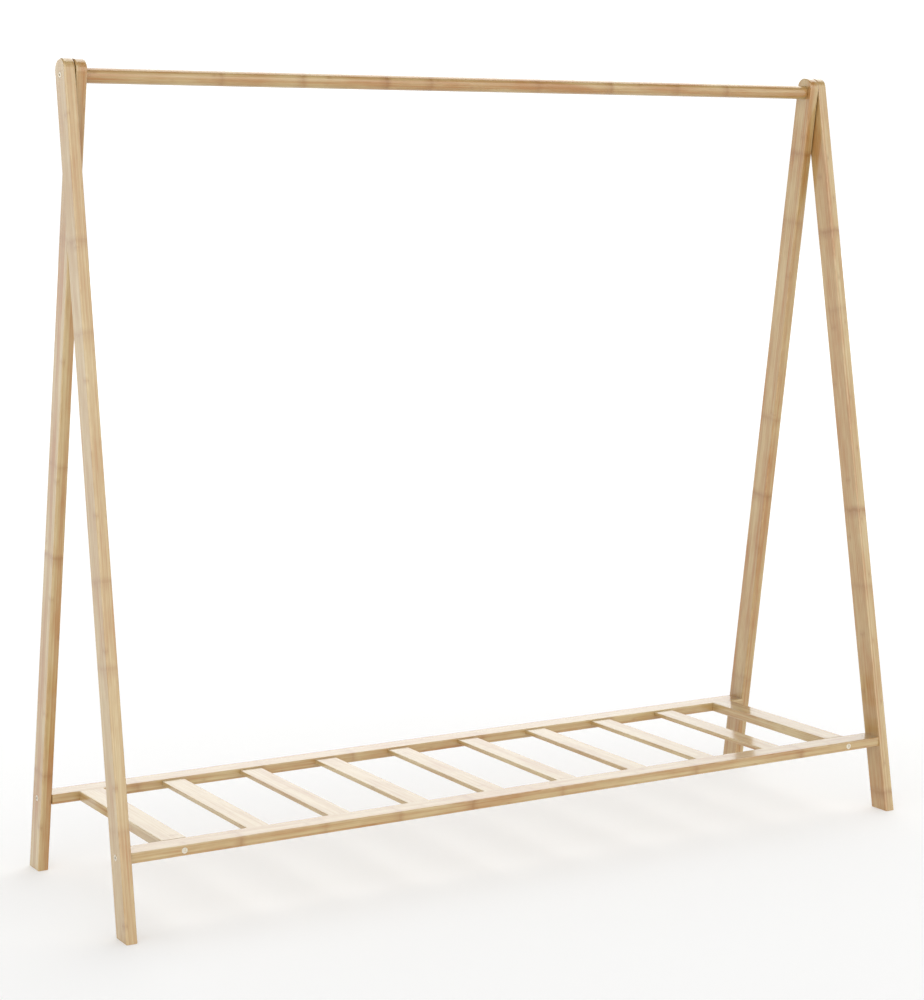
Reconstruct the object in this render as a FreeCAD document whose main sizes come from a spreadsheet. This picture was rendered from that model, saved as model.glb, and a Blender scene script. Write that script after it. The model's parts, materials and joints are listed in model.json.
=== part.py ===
"""Bamboo A-frame clothes rack with one hanging rod and a slatted shoe shelf.

Frame of the part: millimetres, +X along the rod to the right-hand side frame, +Y towards
the back, +Z up. The origin is on the floor, midway between the side frames and midway
between the front feet and the rear feet.

Each side frame is two legs crossed at the top on one bolt, which screws into the end of
the rod. The front leg is the outer one on both sides. Two rails tie the front legs and
the rear legs together low down, and ten slats between the rails make the shelf.
"""
import FreeCAD, Part
import math
import os

import Sketcher

SIZES = {
    # side frames
    "rack_length": 1684.0,       # over the outer faces of the front legs
    "pivot_height": 1470.5,      # axis of the rod and of the top bolts
    "foot_spread": 481.8,        # between the leg centre lines at floor level
    "leg_width": 46.0,
    "leg_thickness": 20.5,
    "leg_head": 29.1,            # wood beyond the top bolt, along the leg
    "leg_head_radius": 20.0,
    "leg_edge_radius": 2.5,
    "foot_edge_radius": 1.0,
    "lap_gap": 1.0,              # thickness of the washer between lapped legs
    "washer_diameter": 18.0,
    # rod
    "rod_diameter": 27.5,
    "rod_edge_radius": 1.0,
    # shelf
    "rail_width": 46.0,
    "rail_height": 18.5,
    "rail_top": 148.6,
    "rail_front": 237.6,         # from the middle plane to the outer long face of a rail
    "rail_edge_radius": 2.0,
    "slat_width": 44.5,
    "slat_thickness": 8.0,
    "slat_drop": 2.6,            # slat surface below the rail surface
    "slat_tenon": 12.0,
    "slat_pitch": 163.3,
    "slat_count": 8.0,
    "first_slat": -558.4,        # centre of the first let-in slat
    "slat_edge_radius": 1.2,
    "end_slat_width": 48.0,
    "left_end_centre": -722.6,   # centre of the left end slat
    "right_end_centre": 742.2,   # centre of the right end slat
    # fasteners
    "bolt_diameter": 6.0,
    "bolt_clearance": 6.5,       # hole in the wood
    "bore_runout": 3.0,          # hole deeper than the bolt's tip
    "head_diameter": 11.0,
    "head_stand": 0.4,           # flat head above the wood
    "socket_width": 4.0,         # across flats
    "socket_depth": 2.2,
    "tip_chamfer": 0.8,
    "top_bolt_length": 66.0,
    "rail_bolt_length": 60.0,
    "shelf_bolt_length": 84.0,
    "nut_diameter": 10.0,
    "nut_length": 14.0,
    "nut_bore": 6.1,
    "nut_inset": 29.0,           # nut axis from the end of the wood it sits in
    "driver_slot_width": 1.4,    # slot in a barrel nut's end
    "driver_slot_depth": 1.5,
    "insert_diameter": 10.0,
    "insert_length": 20.0,
}

EDGE_TOLERANCE = 0.01

doc = FreeCAD.newDocument("clothes_rack")


# ---------------------------------------------------------------- sheet and sketches

def make_sheet():
    """Driving dimensions, one row each: name and number."""
    sheet = doc.addObject("Spreadsheet::Sheet", "Dimensions")
    for row, (word, number) in enumerate(SIZES.items(), start=1):
        sheet.set(f"A{row}", word)
        sheet.set(f"B{row}", str(number))
        sheet.setAlias(f"B{row}", word)
    doc.recompute()
    return sheet


def sized(words):
    """Turn a formula of sheet words, such as 'leg_width / 2', into an expression."""
    parts = [f"Dimensions.{part}" if part in SIZES else part for part in words.split()]
    return " ".join(parts)


LEAN = "atan( foot_spread / 2 / pivot_height )"
RAIL_MIDDLE = "( rail_top - rail_height / 2 )"
BOLT_ROW = f"( foot_spread / 2 * ( 1 - {RAIL_MIDDLE} / pivot_height ) )"
RAIL_INNER = "( rail_front - rail_width )"
OUTER_FACE = "( rack_length / 2 )"
SECOND_FACE = "( rack_length / 2 - leg_thickness - lap_gap )"
INNER_FACE = "( rack_length / 2 - leg_thickness * 2 - lap_gap )"
COUNTERSINK = "( head_diameter - bolt_clearance ) / 2"


def bind(thing, prop, words):
    """Bind a property to a formula of sheet words."""
    thing.setExpression(prop, sized(words))


def new_body(label):
    body = doc.addObject("PartDesign::Body", label)
    body.Label = label
    return body


def origin_plane(body, role):
    return next(plane for plane in body.Origin.OriginFeatures if plane.Role == role)


def new_sketch(body, name, plane, offset=None):
    """Empty sketch on one of the body's origin planes, moved along its normal by offset."""
    sketch = body.newObject("Sketcher::SketchObject", f"{body.Name}_{name}")
    sketch.AttachmentSupport = [(origin_plane(body, plane), "")]
    sketch.MapMode = "FlatFace"
    if offset:
        bind(sketch, "AttachmentOffset.Base.z", offset)
    return sketch


def locate(sketch, geometry, point, across, up):
    """Tie a point of the sketch to the sketch's origin by two formulas."""
    for kind, words in (("DistanceX", across), ("DistanceY", up)):
        index = sketch.addConstraint(Sketcher.Constraint(kind, -1, 1, geometry, point, 1.0))
        bind(sketch, f"Constraints[{index}]", words)


def polygon(sketch, corners):
    """Closed outline through corners, each a pair of formulas."""
    count = len(corners)
    turn = 2.0 * math.pi / count
    rough = [FreeCAD.Vector(math.cos(turn * i), math.sin(turn * i), 0) for i in range(count)]
    for i in range(count):
        sketch.addGeometry(Part.LineSegment(rough[i], rough[(i + 1) % count]), False)
    for i in range(count):
        sketch.addConstraint(Sketcher.Constraint("Coincident", i, 2, (i + 1) % count, 1))
    for i, (across, up) in enumerate(corners):
        locate(sketch, i, 1, across, up)


def rectangle(sketch, left, right, low, high):
    polygon(sketch, [(left, low), (right, low), (right, high), (left, high)])


def circle(sketch, across, up, diameter):
    """Circle at a place given by two formulas."""
    centre = FreeCAD.Vector(1, 1, 0)
    index = sketch.addGeometry(Part.Circle(centre, FreeCAD.Vector(0, 0, 1), 1.0), False)
    size = sketch.addConstraint(Sketcher.Constraint("Diameter", index, 2.0))
    bind(sketch, f"Constraints[{size}]", diameter)
    locate(sketch, index, 3, across, up)


# ---------------------------------------------------------------- features

def extrude(body, kind, name, sketch, length, flip=False):
    """Pad or pocket of a sketch; flip turns it to the other side of the sketch."""
    feature = body.newObject(f"PartDesign::{kind}", f"{body.Name}_{name}")
    feature.Profile = sketch
    feature.Reversed = flip
    bind(feature, "Length", length)
    doc.recompute()
    return feature


def dress(body, kind, name, size, wanted):
    """Fillet or chamfer of the edges that wanted() accepts."""
    base = body.Tip
    edges = enumerate(base.Shape.Edges, start=1)
    names = [f"Edge{number}" for number, edge in edges if wanted(edge)]
    feature = body.newObject(f"PartDesign::{kind}", f"{body.Name}_{name}")
    feature.Base = (base, names)
    bind(feature, "Radius" if kind == "Fillet" else "Size", size)
    body.Tip = feature
    doc.recompute()


def transform(body, kind, name, source):
    """Pattern or mirror of one feature, which becomes the body's tip."""
    feature = body.newObject(f"PartDesign::{kind}", f"{body.Name}_{name}")
    feature.Originals = [source]
    body.Tip = feature
    return feature


def mirror_feature(body, name, source, plane):
    """Repeat a feature on the other side of one of the body's own planes."""
    mirror = transform(body, "Mirrored", name, source)
    mirror.MirrorPlane = (origin_plane(body, plane), [""])
    doc.recompute()


def runs_along(edge, axis):
    """True for a straight edge parallel to an axis (0, 1 or 2)."""
    ends = [vertex.Point for vertex in edge.Vertexes]
    if len(ends) < 2:
        return False
    step = ends[1] - ends[0]
    across = [abs(step[i]) for i in range(3) if i != axis]
    return max(across) < EDGE_TOLERANCE < abs(step[axis])


def in_plane(edge, axis, level):
    """True for an edge that lies in the plane where the axis has this value."""
    box = edge.BoundBox
    low = (box.XMin, box.YMin, box.ZMin)[axis]
    high = (box.XMax, box.YMax, box.ZMax)[axis]
    return abs(low - level) < EDGE_TOLERANCE and abs(high - level) < EDGE_TOLERANCE


def is_ring(edge):
    """True for a closed edge, such as the rim of a hole or of the rod's end."""
    return len(edge.Vertexes) == 1


def place(body, across="0", back="0", up="0"):
    bind(body, "Placement.Base.x", across)
    bind(body, "Placement.Base.y", back)
    bind(body, "Placement.Base.z", up)


def turn_about(body, axis, angle="0"):
    """Turn a body about one axis by a formula in degrees."""
    body.Placement = FreeCAD.Placement(FreeCAD.Vector(), FreeCAD.Rotation(axis, 1.0))
    bind(body, "Placement.Rotation.Angle", angle)


X_AXIS = FreeCAD.Vector(1, 0, 0)
Y_AXIS = FreeCAD.Vector(0, 1, 0)
Z_AXIS = FreeCAD.Vector(0, 0, 1)


# ---------------------------------------------------------------- legs

def make_leg(label, side, row):
    """One leg. side is -1 for left and 1 for right; row is -1 for front and 1 for rear.

    In the leg's own frame Z runs up the leg, the origin is on the top bolt's axis, and
    the wood goes from the outer face at X = 0 towards the middle of the rack.
    """
    body = new_body(label)
    is_outer = row < 0
    foot = f"-1 * pivot_height / cos( {LEAN} )"
    slope = f"{row} * leg_width / 2 * tan( {LEAN} )"
    outline = new_sketch(body, "outline", "YZ_Plane")
    polygon(outline, [
        ("-1 * leg_width / 2", f"{foot} + {slope}"),
        ("leg_width / 2", f"{foot} - {slope}"),
        ("leg_width / 2", "leg_head"),
        ("-1 * leg_width / 2", "leg_head"),
    ])
    extrude(body, "Pad", "blank", outline, "leg_thickness", flip=side > 0)
    top = SIZES["leg_head"]
    inner = -side * SIZES["leg_thickness"]
    foot_line = SIZES["leg_width"] - SIZES["pivot_height"]
    dress(body, "Fillet", "head", "leg_head_radius",
          lambda edge: in_plane(edge, 2, top) and runs_along(edge, 0))
    dress(body, "Fillet", "long_edges", "leg_edge_radius",
          lambda edge: (in_plane(edge, 0, 0.0) or in_plane(edge, 0, inner))
          and edge.BoundBox.ZMax > foot_line)
    dress(body, "Fillet", "foot_edges", "foot_edge_radius",
          lambda edge: runs_along(edge, 0) and edge.BoundBox.ZMax < foot_line)

    holes = new_sketch(body, "bolt_holes", "YZ_Plane")
    circle(holes, "0", "0", "bolt_clearance")
    circle(holes, "0", f"( {RAIL_MIDDLE} - pivot_height ) / cos( {LEAN} )", "bolt_clearance")
    extrude(body, "Pocket", "bolt_bores", holes, "leg_thickness", flip=side < 0)
    sunk_below = SIZES["leg_width"] if is_outer else -SIZES["leg_width"]
    dress(body, "Chamfer", "countersinks", COUNTERSINK,
          lambda edge: is_ring(edge) and in_plane(edge, 0, 0.0) and edge.BoundBox.ZMin < sunk_below)

    turn_about(body, X_AXIS)
    bind(body, "Placement.Rotation.Angle", f"{row} * {LEAN}")
    place(body, f"{side} * {OUTER_FACE if is_outer else SECOND_FACE}", "0", "pivot_height")
    return body


# ---------------------------------------------------------------- rod

def make_rod():
    """Round rod between the rear legs, bored at both ends for its threaded inserts."""
    body = new_body("hanging_rod")
    section = new_sketch(body, "section", "YZ_Plane", f"-1 * {INNER_FACE}")
    circle(section, "0", "0", "rod_diameter")
    extrude(body, "Pad", "round", section, f"2 * {INNER_FACE}")
    dress(body, "Fillet", "end_edges", "rod_edge_radius", is_ring)
    for name, bore, depth in (
        ("insert_seat", "insert_diameter", "insert_length"),
        ("bolt_relief", "bolt_clearance", "insert_length + bore_runout * 4"),
    ):
        mouth = new_sketch(body, name, "YZ_Plane", INNER_FACE)
        circle(mouth, "0", "0", bore)
        pocket = extrude(body, "Pocket", f"{name}_cut", mouth, depth)
        mirror_feature(body, f"{name}_both", pocket, "YZ_Plane")
    place(body, "0", "0", "pivot_height")
    return body


# ---------------------------------------------------------------- shelf

def make_rail(label, row, half_length):
    """One rail. Its own frame has Y = 0 on the inner long face and Z = 0 underneath."""
    body = new_body(label)
    outward = "-1" if row < 0 else "1"
    outline = new_sketch(body, "outline", "XZ_Plane")
    rectangle(outline, f"-1 * {half_length}", half_length, "0", "rail_height")
    extrude(body, "Pad", "blank", outline, "rail_width", flip=row > 0)
    dress(body, "Fillet", "long_edges", "rail_edge_radius", lambda edge: runs_along(edge, 0))

    mortise = new_sketch(body, "mortise", "XZ_Plane")
    high = "( rail_height - slat_drop )"
    rectangle(mortise, "first_slat - slat_width / 2", "first_slat + slat_width / 2",
              f"{high} - slat_thickness", high)
    first = extrude(body, "Pocket", "first_mortise", mortise, "slat_tenon", flip=row < 0)
    pattern = transform(body, "LinearPattern", "mortises", first)
    pattern.Direction = (mortise, ["H_Axis"])
    bind(pattern, "Length", "slat_pitch * ( slat_count - 1 )")
    bind(pattern, "Occurrences", "slat_count")
    doc.recompute()

    bolt_row = f"{outward} * ( {BOLT_ROW} - {RAIL_INNER} )"
    end_hole = new_sketch(body, "end_hole", "YZ_Plane", half_length)
    circle(end_hole, bolt_row, "rail_height / 2", "bolt_clearance")
    bored = extrude(body, "Pocket", "end_bore", end_hole, "rail_bolt_length - leg_thickness + bore_runout")
    mirror_feature(body, "end_bores", bored, "YZ_Plane")

    nut_holes = new_sketch(body, "nut_holes", "XY_Plane")
    for end in ("-1", "1"):
        circle(nut_holes, f"{end} * ( {half_length} - nut_inset )", bolt_row, "nut_diameter")
    extrude(body, "Pocket", "nut_bores", nut_holes, "( rail_height + nut_length ) / 2", flip=True)

    shelf_holes = new_sketch(body, "shelf_holes", "XZ_Plane")
    for centre in ("left_end_centre", "right_end_centre"):
        circle(shelf_holes, centre, "rail_height / 2", "bolt_clearance")
    extrude(body, "Pocket", "shelf_bores", shelf_holes, "rail_width", flip=row < 0)
    outer = row * SIZES["rail_width"]
    dress(body, "Chamfer", "countersinks", COUNTERSINK,
          lambda edge: is_ring(edge) and in_plane(edge, 1, outer))
    place(body, "0", f"{row} * {RAIL_INNER}", "rail_top - rail_height")
    return body


def make_slat(label, step):
    """Thin slat let into both rails. Its own frame is centred under the slat."""
    body = new_body(label)
    outline = new_sketch(body, "outline", "XY_Plane")
    reach = f"( {RAIL_INNER} + slat_tenon )"
    rectangle(outline, "-1 * slat_width / 2", "slat_width / 2", f"-1 * {reach}", reach)
    extrude(body, "Pad", "board", outline, "slat_thickness")
    dress(body, "Fillet", "long_edges", "slat_edge_radius", lambda edge: runs_along(edge, 1))
    place(body, f"first_slat + slat_pitch * {step}", "0", "rail_top - slat_drop - slat_thickness")
    return body


def make_end_slat(label, centre):
    """Full-height board between the rails, bolted through each rail."""
    body = new_body(label)
    outline = new_sketch(body, "outline", "XY_Plane")
    rectangle(outline, "-1 * end_slat_width / 2", "end_slat_width / 2",
              f"-1 * {RAIL_INNER}", RAIL_INNER)
    extrude(body, "Pad", "board", outline, "rail_height")
    dress(body, "Fillet", "long_edges", "rail_edge_radius", lambda edge: runs_along(edge, 1))

    end_hole = new_sketch(body, "end_hole", "XZ_Plane", RAIL_INNER)
    circle(end_hole, "0", "rail_height / 2", "bolt_clearance")
    bored = extrude(body, "Pocket", "end_bore", end_hole, "shelf_bolt_length - rail_width + bore_runout")
    mirror_feature(body, "end_bores", bored, "XZ_Plane")

    nut_holes = new_sketch(body, "nut_holes", "XY_Plane")
    for end in ("-1", "1"):
        circle(nut_holes, "0", f"{end} * ( {RAIL_INNER} - nut_inset )", "nut_diameter")
    extrude(body, "Pocket", "nut_bores", nut_holes, "( rail_height + nut_length ) / 2", flip=True)
    place(body, centre, "0", "rail_top - rail_height")
    return body


# ---------------------------------------------------------------- fasteners

def make_bolt(label, length):
    """Countersunk socket bolt. Its own frame has the wood's surface at X = 0, tip on +X."""
    body = new_body(label)
    half = new_sketch(body, "half_section", "XZ_Plane")
    polygon(half, [
        ("-1 * head_stand", "0"),
        (length, "0"),
        (length, "bolt_diameter / 2 - tip_chamfer"),
        (f"{length} - tip_chamfer", "bolt_diameter / 2"),
        ("( head_diameter - bolt_diameter ) / 2", "bolt_diameter / 2"),
        ("0", "head_diameter / 2"),
        ("-1 * head_stand", "head_diameter / 2 - head_stand"),
    ])
    turned = body.newObject("PartDesign::Revolution", f"{label}_turned")
    turned.Profile = half
    turned.ReferenceAxis = (half, ["H_Axis"])
    turned.Angle = 360.0
    doc.recompute()

    socket = new_sketch(body, "socket", "YZ_Plane", "-1 * head_stand")
    across_corners = "( socket_width / cos( 30 ) )"
    polygon(socket, [
        (f"{across_corners} / 2 * cos( {60 * i} )", f"{across_corners} / 2 * sin( {60 * i} )")
        for i in range(6)
    ])
    extrude(body, "Pocket", "hexagon", socket, "socket_depth", flip=True)
    return body


def make_barrel_nut(label):
    """Cross dowel with its bolt thread along X. Its own frame is at its middle."""
    body = new_body(label)
    section = new_sketch(body, "section", "XY_Plane", "-1 * nut_length / 2")
    circle(section, "0", "0", "nut_diameter")
    extrude(body, "Pad", "barrel", section, "nut_length")
    thread = new_sketch(body, "thread", "YZ_Plane", "nut_diameter")
    circle(thread, "0", "0", "nut_bore")
    extrude(body, "Pocket", "thread_bore", thread, "nut_diameter * 2")
    slot = new_sketch(body, "slot", "XY_Plane", "-1 * nut_length / 2")
    rectangle(slot, "-1 * nut_diameter", "nut_diameter",
              "-1 * driver_slot_width / 2", "driver_slot_width / 2")
    extrude(body, "Pocket", "driver_slot", slot, "driver_slot_depth", flip=True)
    return body


def make_ring(label, outer, inner, length):
    """Plain ring along +X from its own origin: a washer or a threaded insert."""
    body = new_body(label)
    section = new_sketch(body, "section", "YZ_Plane")
    circle(section, "0", "0", outer)
    circle(section, "0", "0", inner)
    extrude(body, "Pad", "ring", section, length)
    return body


def make_group(label, members):
    """Identical fasteners kept together as separate solids."""
    group = doc.addObject("Part::Compound", label)
    group.Label = label
    group.Links = members
    return group


def bolts_through_legs():
    """Bolts that go through the legs along X: two at the top, four into the rails."""
    top_bolts = []
    rail_bolts = []
    for side, angle in ((-1, "0"), (1, "180")):
        bolt = make_bolt(f"top_bolt_{len(top_bolts) + 1}", "top_bolt_length")
        turn_about(bolt, Z_AXIS, angle)
        place(bolt, f"{side} * {OUTER_FACE}", "0", "pivot_height")
        top_bolts.append(bolt)
        for row, face in ((-1, OUTER_FACE), (1, SECOND_FACE)):
            bolt = make_bolt(f"rail_bolt_{len(rail_bolts) + 1}", "rail_bolt_length")
            turn_about(bolt, Z_AXIS, angle)
            place(bolt, f"{side} * {face}", f"{row} * {BOLT_ROW}", RAIL_MIDDLE)
            rail_bolts.append(bolt)
    return [make_group("top_bolts", top_bolts), make_group("rail_bolts", rail_bolts)]


def bolts_through_rails():
    """Bolts that go through the rails along Y into the end slats."""
    bolts = []
    for row, angle in ((-1, "90"), (1, "-90")):
        for centre in ("left_end_centre", "right_end_centre"):
            bolt = make_bolt(f"shelf_bolt_{len(bolts) + 1}", "shelf_bolt_length")
            turn_about(bolt, Z_AXIS, angle)
            place(bolt, centre, f"{row} * rail_front", RAIL_MIDDLE)
            bolts.append(bolt)
    return make_group("shelf_bolts", bolts)


def nuts():
    """Barrel nuts, one for each rail bolt and one for each shelf bolt."""
    front_end = "( rack_length / 2 - leg_thickness - nut_inset )"
    rear_end = f"( {INNER_FACE} - nut_inset )"
    in_rails = []
    in_slats = []
    for side in (-1, 1):
        for row, end in ((-1, front_end), (1, rear_end)):
            nut = make_barrel_nut(f"rail_nut_{len(in_rails) + 1}")
            place(nut, f"{side} * {end}", f"{row} * {BOLT_ROW}", RAIL_MIDDLE)
            in_rails.append(nut)
    for row in (-1, 1):
        for centre in ("left_end_centre", "right_end_centre"):
            nut = make_barrel_nut(f"shelf_nut_{len(in_slats) + 1}")
            turn_about(nut, Z_AXIS, "90")
            place(nut, centre, f"{row} * ( {RAIL_INNER} - nut_inset )", RAIL_MIDDLE)
            in_slats.append(nut)
    return [make_group("rail_barrel_nuts", in_rails), make_group("shelf_barrel_nuts", in_slats)]


def lap_washers():
    """Washer between the two legs of each side frame."""
    washers = []
    start = {-1: "-1 * rack_length / 2 + leg_thickness",
             1: "rack_length / 2 - leg_thickness - lap_gap"}
    for side in (-1, 1):
        washer = make_ring(f"lap_washer_{len(washers) + 1}", "washer_diameter",
                           "bolt_clearance", "lap_gap")
        place(washer, start[side], "0", "pivot_height")
        washers.append(washer)
    return make_group("lap_washers", washers)


def rod_inserts():
    """Threaded insert in each end of the rod."""
    inserts = []
    start = {-1: f"-1 * {INNER_FACE}", 1: f"{INNER_FACE} - insert_length"}
    for side in (-1, 1):
        insert = make_ring(f"rod_insert_{len(inserts) + 1}", "insert_diameter",
                           "nut_bore", "insert_length")
        place(insert, start[side], "0", "pivot_height")
        inserts.append(insert)
    return make_group("rod_end_inserts", inserts)


# ---------------------------------------------------------------- the rack

def build():
    """Every sub-part of the rack."""
    subparts = [
        make_leg("front_left_leg", side=-1, row=-1),
        make_leg("rear_left_leg", side=-1, row=1),
        make_leg("front_right_leg", side=1, row=-1),
        make_leg("rear_right_leg", side=1, row=1),
        make_rod(),
        make_rail("front_rail", -1, "( rack_length / 2 - leg_thickness )"),
        make_rail("rear_rail", 1, INNER_FACE),
        make_end_slat("left_end_slat", "left_end_centre"),
        make_end_slat("right_end_slat", "right_end_centre"),
    ]
    for step in range(int(SIZES["slat_count"])):
        subparts.append(make_slat(f"slat_{step + 1}", step))
    subparts.extend(bolts_through_legs())
    subparts.append(bolts_through_rails())
    subparts.extend(nuts())
    subparts.append(lap_washers())
    subparts.append(rod_inserts())
    return subparts


def check(subparts):
    """Stop if any feature failed, cut nothing or left no valid solid."""
    for thing in doc.Objects:
        if {"Invalid", "Error"} & set(thing.State):
            raise RuntimeError(f"{thing.Name} failed: {thing.State}")
        if thing.TypeId == "PartDesign::Pocket":
            if thing.Shape.Volume > thing.BaseFeature.Shape.Volume - 1.0:
                raise RuntimeError(f"{thing.Name} cuts nothing")
    for subpart in subparts:
        if subpart.Shape.isNull() or not subpart.Shape.isValid() or not subpart.Shape.Solids:
            raise RuntimeError(f"{subpart.Label} has no valid solid")


def export(subparts):
    os.makedirs("parts", exist_ok=True)
    for subpart in subparts:
        subpart.Shape.exportStep(f"parts/{subpart.Label}.step")
        box = subpart.Shape.BoundBox
        print(f"{subpart.Label:22s} solids {len(subpart.Shape.Solids)}"
              f"  volume {subpart.Shape.Volume:10.0f}"
              f"  z {box.ZMin:7.1f} to {box.ZMax:7.1f}")


make_sheet()
rack = build()
doc.recompute()
check(rack)
export(rack)
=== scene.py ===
import json
import math

import bpy
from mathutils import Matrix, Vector


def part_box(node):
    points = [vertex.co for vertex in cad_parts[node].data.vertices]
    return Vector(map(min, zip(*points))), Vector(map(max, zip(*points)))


# The bamboo clothes rack's look: camera, materials, floor and light around the CAD's own pieces.
# Lengths are in metres, and places and directions are in the CAD's frame.

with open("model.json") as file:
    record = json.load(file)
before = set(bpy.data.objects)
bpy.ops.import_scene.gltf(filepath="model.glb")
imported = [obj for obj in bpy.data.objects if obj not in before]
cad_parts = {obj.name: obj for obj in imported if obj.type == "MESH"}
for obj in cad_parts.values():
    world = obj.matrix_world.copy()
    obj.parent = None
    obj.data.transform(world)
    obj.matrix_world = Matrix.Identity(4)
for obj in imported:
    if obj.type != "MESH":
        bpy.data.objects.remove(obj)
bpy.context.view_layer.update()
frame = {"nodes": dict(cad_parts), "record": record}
X, Y, Z = Vector((1, 0, 0)), Vector((0, 1, 0)), Vector((0, 0, 1))

# ---------------------------------------------------------------- camera

PICTURE_LONG_SIDE = 1000
SENSOR = 36.0
FOCAL_PIXELS = 2349.1
CAMERA_PLACE = (-2.3244, -3.8949, 1.2889)
CAMERA_YAW = -0.53233
CAMERA_PITCH = -0.06946
# The photo's own framing would take -0.33, which cuts the rack off in the views from the sides.
CAMERA_SHIFT_Y = -0.157
CAMERA_REACH = 200.0


def make_camera():
    data = bpy.data.cameras.new("photo_camera")
    data.sensor_width = SENSOR
    data.lens = FOCAL_PIXELS / PICTURE_LONG_SIDE * SENSOR
    data.shift_y = CAMERA_SHIFT_Y
    data.clip_end = CAMERA_REACH
    camera = bpy.data.objects.new("photo_camera", data)
    camera.location = CAMERA_PLACE
    camera.rotation_euler = (math.pi / 2 + CAMERA_PITCH, 0.0, CAMERA_YAW)
    bpy.context.scene.collection.objects.link(camera)
    bpy.context.scene.camera = camera


# ---------------------------------------------------------------- node helpers


def linear(red, green, blue):
    """A colour given as 0 to 255 display values, as the linear RGBA that a shader takes."""

    def channel(value):
        value /= 255.0
        if value <= 0.04045:
            return value / 12.92
        return ((value + 0.055) / 1.055) ** 2.4

    return (channel(red), channel(green), channel(blue), 1.0)


WHITE = (1.0, 1.0, 1.0, 1.0)


class Graph:
    """Adds nodes to a material's or a world's tree.

    A value given to its methods is a number, a tuple or another node's output socket.
    """

    def __init__(self, tree):
        self.tree = tree
        tree.nodes.clear()

    def node(self, kind, **settings):
        made = self.tree.nodes.new(kind)
        for key, value in settings.items():
            setattr(made, key, value)
        return made

    def feed(self, socket, value):
        if isinstance(value, bpy.types.NodeSocket):
            self.tree.links.new(value, socket)
        else:
            socket.default_value = value

    def math(self, operation, first, second=None):
        made = self.node("ShaderNodeMath", operation=operation)
        self.feed(made.inputs[0], first)
        if second is not None:
            self.feed(made.inputs[1], second)
        return made.outputs[0]

    def add(self, first, *others):
        total = first
        for other in others:
            total = self.math("ADD", total, other)
        return total

    def times(self, first, second):
        return self.math("MULTIPLY", first, second)

    def largest(self, first, second):
        return self.math("MAXIMUM", first, second)

    def size(self, value):
        return self.math("ABSOLUTE", value)

    def vector(self, operation, first, second):
        made = self.node("ShaderNodeVectorMath", operation=operation)
        self.feed(made.inputs[0], first)
        self.feed(made.inputs[1], second)
        return made.outputs["Value" if operation == "DOT_PRODUCT" else "Vector"]

    def reach(self, place, direction):
        """How far a place lies in a direction."""
        return self.vector("DOT_PRODUCT", place, tuple(direction))

    def join(self, x, y, z):
        made = self.node("ShaderNodeCombineXYZ")
        for socket, value in zip(made.inputs, (x, y, z)):
            self.feed(socket, value)
        return made.outputs[0]

    def step(self, value, low, high, start=0.0, end=1.0):
        """Goes smoothly from start to end as value goes from low to high."""
        made = self.node("ShaderNodeMapRange", interpolation_type="SMOOTHSTEP")
        names = ("Value", "From Min", "From Max", "To Min", "To Max")
        for name, number in zip(names, (value, low, high, start, end)):
            self.feed(made.inputs[name], number)
        return made.outputs["Result"]

    def noise(self, place, scale=1.0, detail=2.0, roughness=0.5):
        made = self.node("ShaderNodeTexNoise")
        names = ("Vector", "Scale", "Detail", "Roughness")
        for name, value in zip(names, (place, scale, detail, roughness)):
            self.feed(made.inputs[name], value)
        return made.outputs["Fac"]

    def white(self, place):
        """Three random numbers for a place, each from 0 to 1."""
        made = self.node("ShaderNodeTexWhiteNoise", noise_dimensions="3D")
        self.feed(made.inputs["Vector"], place)
        split = self.node("ShaderNodeSeparateXYZ")
        self.feed(split.inputs[0], made.outputs["Color"])
        return split.outputs

    def blend(self, share, first, second):
        """Mixes two colours; sockets 0, 6 and 7 of a Mix node are a colour mix's factor, A and B."""
        made = self.node("ShaderNodeMix", data_type="RGBA")
        for place, value in ((0, share), (6, first), (7, second)):
            self.feed(made.inputs[place], value)
        return made.outputs[2]

    def ramp(self, value, stops):
        made = self.node("ShaderNodeValToRGB")
        elements = made.color_ramp.elements
        while len(elements) < len(stops):
            elements.new(0.5)
        for element, (place, colour) in zip(elements, stops):
            element.position = place
            element.color = colour
        self.feed(made.inputs[0], value)
        return made.outputs["Color"]

    def bump(self, height, strength, distance):
        made = self.node("ShaderNodeBump")
        made.inputs["Strength"].default_value = strength
        made.inputs["Distance"].default_value = distance
        self.feed(made.inputs["Height"], height)
        return made.outputs["Normal"]

    def surface(self, **inputs):
        shader = self.node("ShaderNodeBsdfPrincipled")
        for name, value in inputs.items():
            self.feed(shader.inputs[name.replace("_", " ")], value)
        output = self.node("ShaderNodeOutputMaterial")
        self.tree.links.new(shader.outputs[0], output.inputs["Surface"])


def new_material(name):
    material = bpy.data.materials.new(name)
    material.use_nodes = True
    return material, Graph(material.node_tree)


def paint(name, material):
    node = frame["nodes"][name]
    if not node.material_slots:
        node.data.materials.append(None)
    for place in node.material_slots:
        place.link = "OBJECT"
        place.material = material


# ---------------------------------------------------------------- bamboo

STRAW = linear(200, 180, 134)
HONEY = linear(187, 159, 109)
TOFFEE = linear(173, 123, 60)
RIPENING = ((0.2, STRAW), (0.5, HONEY), (0.88, TOFFEE))
KNUCKLE = linear(148, 96, 24)
RUBBED = linear(226, 204, 166)
END_GRAIN = linear(186, 156, 110)
PORE = linear(122, 88, 52)

# Layers are glued on each other through a stick's depth, and each is strips glued side by side.
LAYER_DEPTH = 0.0052
STRIP_WIDTH = 0.0158
OVERSIZE = 0.0004      # keeps a stick's faces inside its outer layers and strips
FIRST_STRIP = 8.0      # keeps the strips' numbers above 0
STAGGER = 0.45         # in strips, for every other layer
GLUE_WIDTH = 0.00035

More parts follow.
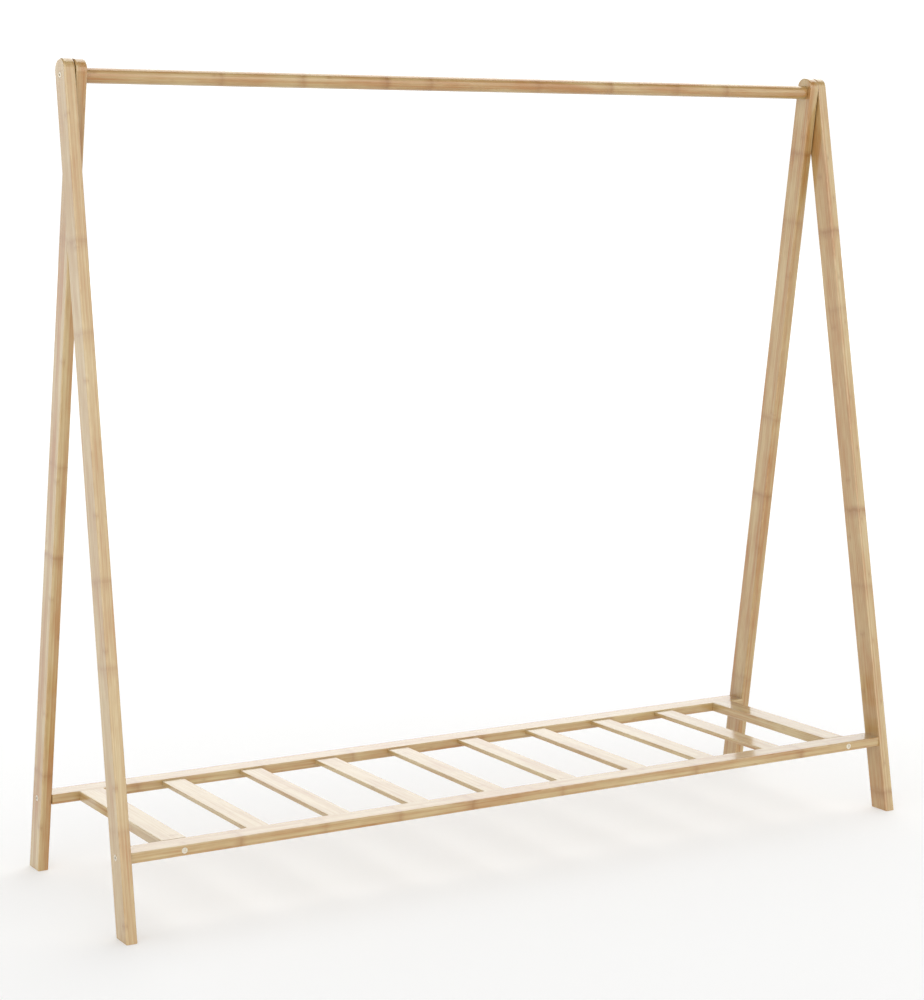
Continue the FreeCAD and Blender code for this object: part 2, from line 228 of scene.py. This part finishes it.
# Knuckles are a line with a smear beside it. They wander, and each strip has its own place.
SOLID_SHARE = 0.3      # of the line's half width
LINE_DARK, SMEAR_DARK = 0.8, 0.6
WANDER, STRIP_WANDER = 0.008, 0.003
WANDER_ALONG, WANDER_ACROSS = 40, 190  # waves per metre
FAINT_LINE, FAINT_SMEAR = 0.004, 0.012
FAINT_SPACING, MORE_SPACING = 0.22, 0.11
FAINT_CHANCE, FAINT_DARK = 0.3, 0.5  # strips with a lower chance have none
FIRST_FAINT = 40.0     # keeps the count of faint knuckles above 0
STRONG_LINE, STRONG_SMEAR = 0.008, 0.024
STRONG_OFFSET = 0.0075  # about what the wandering adds
STRONG_BELOW, STRONG_ABOVE = -1.0, 2.0  # the smear is twice as long below the line as above it
STRONG_DARK, MORE_STRONG_DARK = 0.65, 0.45

# How much each thing counts in the colour.
TONE_SHARE, PATCH_SHARE, COARSE_SHARE = 0.28, 1.15, 0.85
PATCH_LOW, COARSE_MIDDLE = 0.18, 0.5
FINE_SHARE = 0.26
GLUE_SHARE = 0.16
KNUCKLE_SHARE = 0.85
RUBBED_SHARE = 0.28
CUT_SHARE = 0.62
PORE_SHARE = 0.45
PORES_PER_METRE = 1000

# A stick's rubbed edges, by how near a place is to one, and its cut ends, by how far its
# surface turns towards the grain.
RUBBED_FULL, RUBBED_END = 0.0006, 0.0032
CUT_FROM, CUT_FULL = 0.72, 0.93

ROUGHNESS, FINE_ROUGHNESS, RUBBED_ROUGHNESS = 0.36, 0.14, 0.12
FINE_HEIGHT, COARSE_HEIGHT, GLUE_HEIGHT, KNUCKLE_HEIGHT = 0.5, 0.4, -0.8, 0.5
BUMP_STRENGTH, BUMP_DISTANCE = 0.16, 0.0004
LACQUER = {"IOR": 1.5, "Coat_Weight": 1.0, "Coat_Roughness": 0.14, "Coat_IOR": 1.85}


def member(name, along, across, through, width, depth, seed, knuckles=(), ripeness=0.0, middle=None):
    """How a stick of bamboo lies, its section, and what its grain is like.

    along is its grain's direction. knuckles are the strong ones: the place along the stick from
    its middle, and how dark. ripeness makes it darker, or paler below 0.
    """
    if middle is None:
        low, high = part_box(name)
        middle = (low + high) / 2
    return {
        "name": name, "middle": middle, "along": along, "across": across, "through": through,
        "width": width, "depth": depth, "seed": seed, "knuckles": knuckles, "ripeness": ripeness,
    }


def mark(graph, distance, line_reach, smear_reach):
    """How dark a knuckle is at a distance from it: a thin line with a soft smear beside it."""
    line = graph.step(distance, line_reach * SOLID_SHARE, line_reach, LINE_DARK, 0.0)
    smear = graph.step(distance, 0.0, smear_reach, SMEAR_DARK, 0.0)
    return graph.largest(line, smear)


def glued_strips(graph, stick, across, through):
    """The three random numbers of each strip, and where the glue between strips shows."""
    layers = max(1, round(stick["depth"] / LAYER_DEPTH))
    strips = max(1, round(stick["width"] / STRIP_WIDTH))
    layer_depth = (stick["depth"] + OVERSIZE) / layers
    strip_width = (stick["width"] + OVERSIZE) / strips
    layer_at = graph.add(graph.math("DIVIDE", through, layer_depth), layers / 2)
    layer = graph.math("FLOOR", layer_at)
    # Half of a whole number has a fraction of 0 or 0.5.
    stagger = graph.times(graph.math("FRACT", graph.times(layer, 0.5)), 2 * STAGGER)
    strip_at = graph.add(graph.math("DIVIDE", across, strip_width), strips / 2 + FIRST_STRIP, stagger)
    strip = graph.math("FLOOR", strip_at)

    def joint(place, width):
        from_middle = graph.size(graph.add(graph.math("FRACT", place), -0.5))
        return graph.step(from_middle, 0.5 - GLUE_WIDTH / width, 0.5)

    glue = graph.largest(joint(layer_at, layer_depth), joint(strip_at, strip_width))
    return graph.white(graph.join(strip, layer, stick["seed"])), glue


def knuckles(graph, stick, along, across, through, strip_numbers):
    """Each strip has faint knuckles of its own, and strong ones run across the whole stick."""
    tone, phase, chance = strip_numbers
    waves = graph.join(
        graph.times(along, WANDER_ALONG), graph.times(across, WANDER_ACROSS),
        graph.add(through, stick["seed"]))
    wander = graph.times(graph.noise(waves, detail=1.0), WANDER)
    wandered = graph.add(along, graph.add(wander, graph.times(phase, STRIP_WANDER)))

    spacing = graph.add(FAINT_SPACING, graph.times(tone, MORE_SPACING))
    count = graph.add(graph.math("DIVIDE", wandered, spacing), graph.add(phase, FIRST_FAINT))
    nearest = graph.times(graph.size(graph.add(graph.math("FRACT", count), -0.5)), spacing)
    share = graph.step(chance, FAINT_CHANCE, 1.0, 0.0, FAINT_DARK)
    dark = graph.times(mark(graph, nearest, FAINT_LINE, FAINT_SMEAR), share)

    for place, strength in stick["knuckles"]:
        above = graph.add(wandered, -place - STRONG_OFFSET)
        distance = graph.largest(graph.times(above, STRONG_BELOW), graph.times(above, STRONG_ABOVE))
        share = graph.add(graph.times(phase, MORE_STRONG_DARK * strength), STRONG_DARK * strength)
        strong = graph.times(mark(graph, distance, STRONG_LINE, STRONG_SMEAR), share)
        dark = graph.largest(dark, strong)
    return dark


def bamboo(stick):
    """Strips glued in layers, with their own tones, fibres and knuckles, under a satin lacquer."""
    material, graph = new_material("bamboo_" + stick["name"])
    texture = graph.node("ShaderNodeTexCoord")
    place = graph.vector("SUBTRACT", texture.outputs["Object"], tuple(stick["middle"]))
    along, across, through = (graph.reach(place, stick[way]) for way in ("along", "across", "through"))
    strip_numbers, glue = glued_strips(graph, stick, across, through)
    dark = knuckles(graph, stick, along, across, through, strip_numbers)

    def grain(along_scale, cross_scale, detail, roughness=0.5, shift=0.0):
        """Noise that is long along the stick, with so many waves per metre each way."""
        stretched = graph.join(
            graph.times(along, along_scale), graph.times(across, cross_scale),
            graph.add(graph.times(through, cross_scale), shift))
        return graph.noise(stretched, detail=detail, roughness=roughness)

    fine = grain(14, 1500, 3.0, 0.6)
    coarse = grain(5, 420, 2.0, shift=stick["seed"])
    patch = grain(7, 34, 3.0, 0.6, shift=stick["seed"])
    mix = graph.add(
        graph.times(strip_numbers[0], TONE_SHARE),
        graph.times(graph.add(patch, -PATCH_LOW), PATCH_SHARE),
        graph.times(graph.add(coarse, stick["ripeness"] - COARSE_MIDDLE), COARSE_SHARE))
    colour = graph.ramp(mix, RIPENING)
    colour = graph.blend(graph.step(fine, 0.42, 0.74, 0.0, FINE_SHARE), colour, TOFFEE)
    colour = graph.blend(graph.times(glue, GLUE_SHARE), colour, KNUCKLE)
    colour = graph.blend(graph.times(dark, KNUCKLE_SHARE), colour, KNUCKLE)

    # The long edges are rubbed paler and duller.
    to_edge = graph.add(
        graph.math("SUBTRACT", stick["width"] / 2, graph.size(across)),
        graph.math("SUBTRACT", stick["depth"] / 2, graph.size(through)))
    worn = graph.step(grain(40, 60, 3.0, 0.65), 0.38, 0.68)
    rubbed = graph.times(graph.step(to_edge, RUBBED_FULL, RUBBED_END, 1.0, 0.0), worn)
    colour = graph.blend(graph.times(rubbed, RUBBED_SHARE), colour, RUBBED)

    # The cut ends show the strips' pores.
    facing = graph.size(graph.reach(texture.outputs["Normal"], stick["along"]))
    cut = graph.step(facing, CUT_FROM, CUT_FULL)
    cells = graph.node("ShaderNodeTexVoronoi", feature="F1", voronoi_dimensions="2D")
    cells.inputs["Scale"].default_value = PORES_PER_METRE
    graph.feed(cells.inputs["Vector"], graph.join(across, through, 0.0))
    pores = graph.step(cells.outputs["Distance"], 0.16, 0.34, 1.0, 0.0)
    end_colour = graph.blend(graph.times(pores, PORE_SHARE), END_GRAIN, PORE)
    colour = graph.blend(graph.times(cut, CUT_SHARE), colour, end_colour)

    roughness = graph.add(
        ROUGHNESS, graph.times(fine, FINE_ROUGHNESS), graph.times(rubbed, RUBBED_ROUGHNESS))
    height = graph.add(
        graph.add(graph.times(fine, FINE_HEIGHT), graph.times(coarse, COARSE_HEIGHT)),
        graph.add(graph.times(glue, GLUE_HEIGHT), graph.times(dark, KNUCKLE_HEIGHT)))
    graph.surface(
        Base_Color=colour, Roughness=roughness, Normal=graph.bump(height, BUMP_STRENGTH, BUMP_DISTANCE),
        **LACQUER)
    return material


# ---------------------------------------------------------------- the rack's sticks

LEG_WIDTH, LEG_DEPTH = 0.046, 0.0205
RAIL_WIDTH, RAIL_DEPTH = 0.046, 0.0185
ROD_DIAMETER = 0.0275
# The rear legs' darker tone is painted shade: they get a slightly darker bamboo colour than the front legs, for
# the shade that falls on them beside the front legs.
REAR_LEG_SHADE_DARKENING, ROD_RIPENESS, SLAT_RIPENESS = 0.05, 0.14, -0.15

# The strong knuckles, where the photo shows them: place along the stick from its middle, how dark.
LEG_KNUCKLES = {
    "front_left": ((-0.56, 0.3), (-0.285, 0.45), (-0.137, 0.6), (0.29, 0.45), (0.451, 0.6)),
    "rear_left": ((-0.553, 0.7), (-0.132, 0.8), (0.04, 0.5), (0.455, 0.45)),
    "front_right": ((-0.712, 0.8), (-0.29, 0.4), (-0.132, 1.0), (0.285, 0.4), (0.449, 0.9)),
    "rear_right": ((-0.55, 0.35), (-0.13, 0.8), (0.042, 0.5), (0.47, 0.4), (0.616, 0.8)),
}
RAIL_KNUCKLES = {
    "front_rail": (
        (-0.615, 0.7), (-0.45, 0.4), (-0.3, 0.6), (-0.145, 0.8), (0.05, 0.5), (0.36, 0.5), (0.62, 0.7)),
    "rear_rail": ((-0.63, 0.6), (-0.37, 0.5), (-0.17, 0.6), (0.13, 0.5), (0.45, 0.5)),
}
ROD_KNUCKLES = (
    (-0.54, 0.6), (-0.375, 0.65), (-0.2, 1.0), (-0.105, 0.75), (0.135, 0.55), (0.305, 0.8),
    (0.465, 0.6), (0.59, 0.7))
SLATS = ["left_end_slat", "right_end_slat"] + [f"slat_{number}" for number in range(1, 9)]

# Each stick's grain starts from its own number.
LEG_SEED, LEG_SEED_STEP = 3.7, 5.3
RAIL_SEED, RAIL_SEED_STEP = 31.1, 4.9
ROD_SEED = 47.3
SLAT_SEED, SLAT_SEED_STEP = 60.7, 3.1


def list_sticks():
    rod_low, rod_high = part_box("hanging_rod")
    pivot_height = (rod_low.z + rod_high.z) / 2
    mounts = {mount["name"]: Vector(mount["pos_m"]) for mount in frame["record"]["mounts"]}
    for number, (corner, places) in enumerate(LEG_KNUCKLES.items()):
        foot = mounts[corner + "_foot"]
        pivot = Vector((foot.x, 0, pivot_height))
        upward = (pivot - foot).normalized()
        # Painted shade: the rear legs' bamboo is made a little darker than the front legs'.
        ripeness = REAR_LEG_SHADE_DARKENING if corner.startswith("rear") else 0.0
        yield member(
            corner + "_leg", upward, upward.cross(X).normalized(), X, LEG_WIDTH, LEG_DEPTH,
            LEG_SEED + LEG_SEED_STEP * number, places, ripeness, (foot + pivot) / 2)
    for number, (name, places) in enumerate(RAIL_KNUCKLES.items()):
        yield member(name, X, Y, Z, RAIL_WIDTH, RAIL_DEPTH, RAIL_SEED + RAIL_SEED_STEP * number, places)
    yield member(
        "hanging_rod", X, Y, Z, ROD_DIAMETER, ROD_DIAMETER, ROD_SEED, ROD_KNUCKLES, ROD_RIPENESS)
    for number, name in enumerate(SLATS):
        low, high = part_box(name)
        size = high - low
        yield member(
            name, Y, X, Z, size.x, size.z, SLAT_SEED + SLAT_SEED_STEP * number, ripeness=SLAT_RIPENESS)


# ---------------------------------------------------------------- metal

# Name, colour, stain, roughness, and how many clouds of stain per metre.
METALS = {
    ("top_bolts", "rail_bolts", "shelf_bolts"):
        ("nickel_plate", linear(228, 222, 208), linear(196, 184, 160), 0.24, 320),
    ("rail_barrel_nuts", "shelf_barrel_nuts"):
        ("zinc_nut", linear(198, 200, 204), linear(160, 160, 158), 0.3, 260),
    ("lap_washers",):
        ("zinc_washer", linear(188, 190, 192), linear(150, 150, 148), 0.34, 240),
    ("rod_end_inserts",):
        ("turned_brass", linear(206, 170, 96), linear(170, 130, 66), 0.3, 260),
}
SPECKS_PER_CLOUD = 9
STAIN_SHARE = 0.55
CLOUD_ROUGHNESS, SPECK_ROUGHNESS = 0.16, 0.1


def metal(name, colour, stain, roughness, scale):
    """Plated metal with small stains and dull specks."""
    material, graph = new_material(name)
    place = graph.node("ShaderNodeTexCoord").outputs["Object"]
    cloud = graph.noise(place, scale, 4.0, 0.6)
    speck = graph.noise(place, scale * SPECKS_PER_CLOUD)
    tint = graph.blend(graph.step(cloud, 0.42, 0.72, 0.0, STAIN_SHARE), colour, stain)
    rough = graph.add(
        roughness, graph.times(cloud, CLOUD_ROUGHNESS), graph.times(speck, SPECK_ROUGHNESS))
    graph.surface(
        Base_Color=tint, Metallic=1.0, Roughness=rough, Normal=graph.bump(speck, strength=0.2, distance=0.0001))
    return material


# ---------------------------------------------------------------- studio

FLOOR_SIZE = 60.0
FLOOR_COLOUR = linear(184, 184, 183)
FLOOR_MOTTLE = linear(180, 180, 179)
MOTTLE_SHARE = 0.25
FLOOR_GLOW = 0.46

# Light by direction: a pale wall all round, a dim ceiling, and softboxes on them.
WALL_LIGHT = 1.04
CEILING_LIGHT = 0.1
CEILING_FROM, CEILING_FULL = 0.38, 0.6
# The two lights on the back wall fade out towards the floor and the ceiling.
BACK_RISE = (0.0, 0.14)
BACK_FALL = (0.28, 0.5)
# Direction, nearness to it where the light starts and is full, its strength, on the back wall.
SOFTBOXES = (
    ((0.17, 1.0, 0.22), 0.78, 0.97, 0.65, True),
    ((-0.37, 0.93, -0.05), 0.86, 0.98, 0.4, True),
    ((-0.1, -0.9, 0.4), 0.5, 0.95, 0.8, False),
    ((-1.0, -0.3, 0.4), 0.4, 0.95, 0.45, False),
    ((0.5, 0.4, 0.77), 0.84, 0.93, 1.9, False),
)
VIEW_GAMMA = 0.85


def make_floor():
    """Plain paper that glows a little, with a sheen that whitens it towards the horizon."""
    mesh = bpy.data.meshes.new("studio_floor")
    half = FLOOR_SIZE / 2
    corners = [(-half, -half, 0), (half, -half, 0), (half, half, 0), (-half, half, 0)]
    mesh.from_pydata(corners, [], [(0, 1, 2, 3)])
    floor = bpy.data.objects.new("studio_floor", mesh)
    bpy.context.scene.collection.objects.link(floor)
    material, graph = new_material("studio_paper")
    place = graph.node("ShaderNodeTexCoord").outputs["Object"]
    mottle = graph.times(graph.noise(place, 1.5, 3.0), MOTTLE_SHARE)
    graph.surface(
        Base_Color=graph.blend(mottle, FLOOR_COLOUR, FLOOR_MOTTLE), Roughness=0.9,
        Specular_IOR_Level=0.1, Emission_Color=WHITE, Emission_Strength=FLOOR_GLOW,
        Sheen_Weight=1.0, Sheen_Roughness=0.35)
    mesh.materials.append(material)


def make_world():
    world = bpy.data.worlds.new("studio")
    world.use_nodes = True
    graph = Graph(world.node_tree)
    way = graph.node("ShaderNodeTexCoord").outputs["Generated"]
    height = graph.reach(way, Z)
    strength = graph.step(height, CEILING_FROM, CEILING_FULL, WALL_LIGHT, CEILING_LIGHT)
    on_back_wall = graph.times(graph.step(height, *BACK_RISE), graph.step(height, *BACK_FALL, 1.0, 0.0))
    for direction, start, full, extra, back in SOFTBOXES:
        nearness = graph.reach(way, Vector(direction).normalized())
        glow = graph.step(nearness, start, full, 0.0, extra)
        strength = graph.add(strength, graph.times(glow, on_back_wall) if back else glow)
    light = graph.node("ShaderNodeBackground")
    light.inputs["Color"].default_value = WHITE
    graph.feed(light.inputs["Strength"], strength)
    output = graph.node("ShaderNodeOutputWorld")
    world.node_tree.links.new(light.outputs[0], output.inputs["Surface"])
    bpy.context.scene.world = world


# ---------------------------------------------------------------- making

make_camera()
for stick in list_sticks():
    paint(stick["name"], bamboo(stick))
for names, look in METALS.items():
    plating = metal(*look)
    for name in names:
        paint(name, plating)
make_floor()
make_world()
view = bpy.context.scene.view_settings
view.view_transform = "Standard"
view.gamma = VIEW_GAMMA
